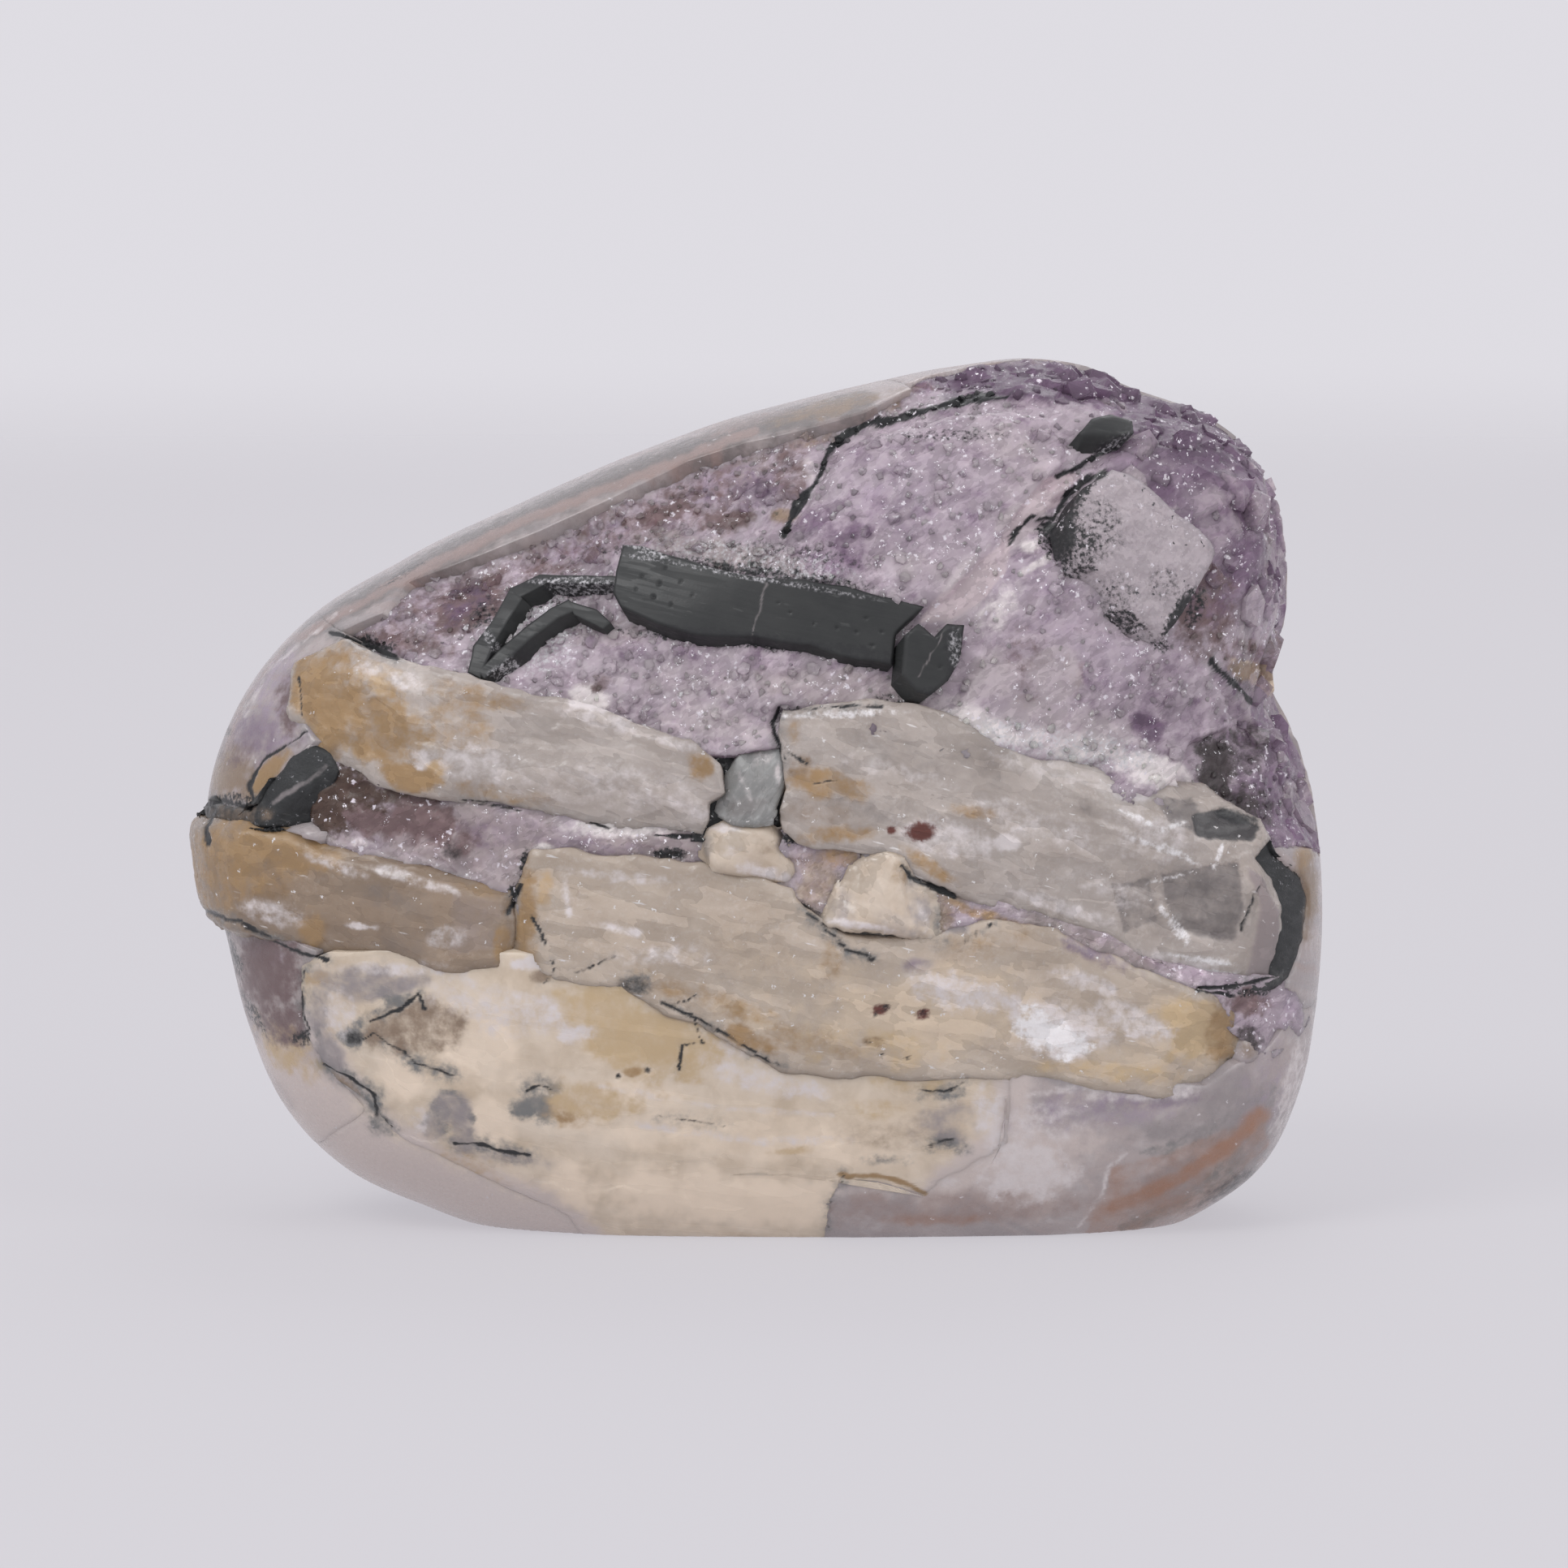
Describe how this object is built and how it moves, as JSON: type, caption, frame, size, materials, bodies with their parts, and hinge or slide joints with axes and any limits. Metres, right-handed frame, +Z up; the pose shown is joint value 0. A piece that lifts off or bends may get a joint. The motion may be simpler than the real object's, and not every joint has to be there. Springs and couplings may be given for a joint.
{
  "type": "amethyst specimen",
  "caption": "Free-standing polished agate freeform with an amethyst-lined hollow, pale calcite blades and dark mineral bars in its face, on a flat ground base.",
  "frame": {"origin": "middle of the flat ground base, on the surface that the specimen stands on", "axes": "+X along the stone's width to the right as seen from its face, +Z up, the face looks towards -Y"},
  "size_m": [0.1162, 0.0597, 0.0884],
  "materials": {
    "polished_agate": "polished, pinkish grey with faint orange bands",
    "amethyst": "small glassy crystal points, lilac to purple",
    "cream_calcite": "polished, waxy cream with grey veins and ochre stains",
    "pale_calcite": "satin cleavage faces, greyish white with ochre ends",
    "amber_calcite": "glassy, brownish grey to ochre",
    "blue_grey_calcite": "glassy cleavage faces",
    "dark_mineral": "satin, with fine pits",
    "speckled_druse": "fine sugary crust with black specks",
    "black_druse": "fine sparkling black crust"
  },
  "bodies": {
    "root": {"stone_body": "polished_agate", "amethyst_druse": "amethyst", "cream_calcite": "cream_calcite", "calcite_blade_upper_left": "pale_calcite", "calcite_blade_upper_right": "pale_calcite", "calcite_blade_lower_left": "amber_calcite", "calcite_blade_lower": "pale_calcite", "cream_tooth": "cream_calcite", "cream_lump": "cream_calcite", "grey_crystal": "blue_grey_calcite", "dark_bar_long": "dark_mineral", "dark_bar_cross": "dark_mineral", "dark_frame": "dark_mineral", "dark_wedge": "dark_mineral", "drusy_block": "speckled_druse", "dark_end_left": "black_druse", "dark_end_right": "black_druse"}
  },
  "joints": []
}
